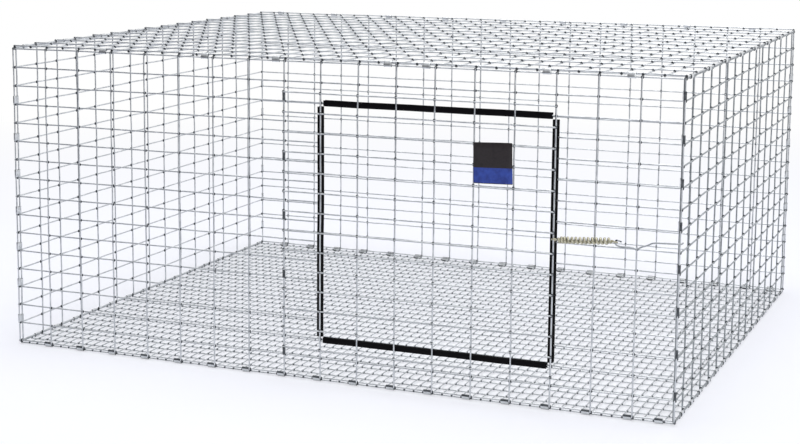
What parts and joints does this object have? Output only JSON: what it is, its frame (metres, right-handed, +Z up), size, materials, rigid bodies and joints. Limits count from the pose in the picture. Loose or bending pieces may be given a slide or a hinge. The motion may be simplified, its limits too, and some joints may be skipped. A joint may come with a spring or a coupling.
{
  "type": "wire rabbit hutch",
  "caption": "Rectangular cage of welded wire mesh with a hinged mesh door, a sprung latch hook, edge guards and a fine mesh floor.",
  "frame": {"origin": "middle of the cage's plan, on the plane its bottom clips stand on", "axes": "+X along the width towards the latch side, -Y out of the front with the door, +Z up"},
  "size_m": [0.9195, 0.7823, 0.4175],
  "materials": {
    "galvanised_wire": "zinc coated, satin",
    "clip_steel": "zinc coated, satin",
    "edge_guard": "matt, flexible",
    "spring_steel": "dull, slightly yellow",
    "name_tag": "smooth"
  },
  "bodies": {
    "cage": {"floor_mesh": "galvanised_wire", "top_mesh": "galvanised_wire", "front_mesh": "galvanised_wire", "back_mesh": "galvanised_wire", "left_mesh": "galvanised_wire", "right_mesh": "galvanised_wire", "guard_hinge_side": "edge_guard", "guard_latch_side": "edge_guard", "guard_top": "edge_guard", "guard_bottom": "edge_guard", "clips_front_bottom": "clip_steel", "clips_back_bottom": "clip_steel", "clips_left_bottom": "clip_steel", "clips_right_bottom": "clip_steel", "clips_front_top": "clip_steel", "clips_back_top": "clip_steel", "clips_left_top": "clip_steel", "clips_right_top": "clip_steel", "clips_front_left": "clip_steel", "clips_front_right": "clip_steel", "clips_back_left": "clip_steel", "clips_back_right": "clip_steel", "hinge_clips": "clip_steel"},
    "door": {"door_mesh": "galvanised_wire", "tag_plate": "name_tag", "tag_rings": "clip_steel"},
    "latch": {"latch_loop": "spring_steel", "latch_spring": "spring_steel"},
    "hook": {"latch_hook": "galvanised_wire"}
  },
  "joints": [
    {"name": "door_swing", "type": "hinge", "parent": "cage", "child": "door", "pos_m": [-0.049, -0.3902, 0.2084], "axis": [0, 0, -1], "range_deg": [0, 150]},
    {"name": "latch_swing", "type": "hinge", "parent": "door", "child": "latch", "pos_m": [0.3066, -0.3902, 0.213], "axis": [0, 0, -1], "range_deg": [0, 150]},
    {"name": "hook_pull", "type": "slide", "parent": "latch", "child": "hook", "axis": [1, 0, 0], "range_m": [0, 0.01], "stiffness_N_per_m": 200, "deforming": ["latch_spring"]}
  ]
}
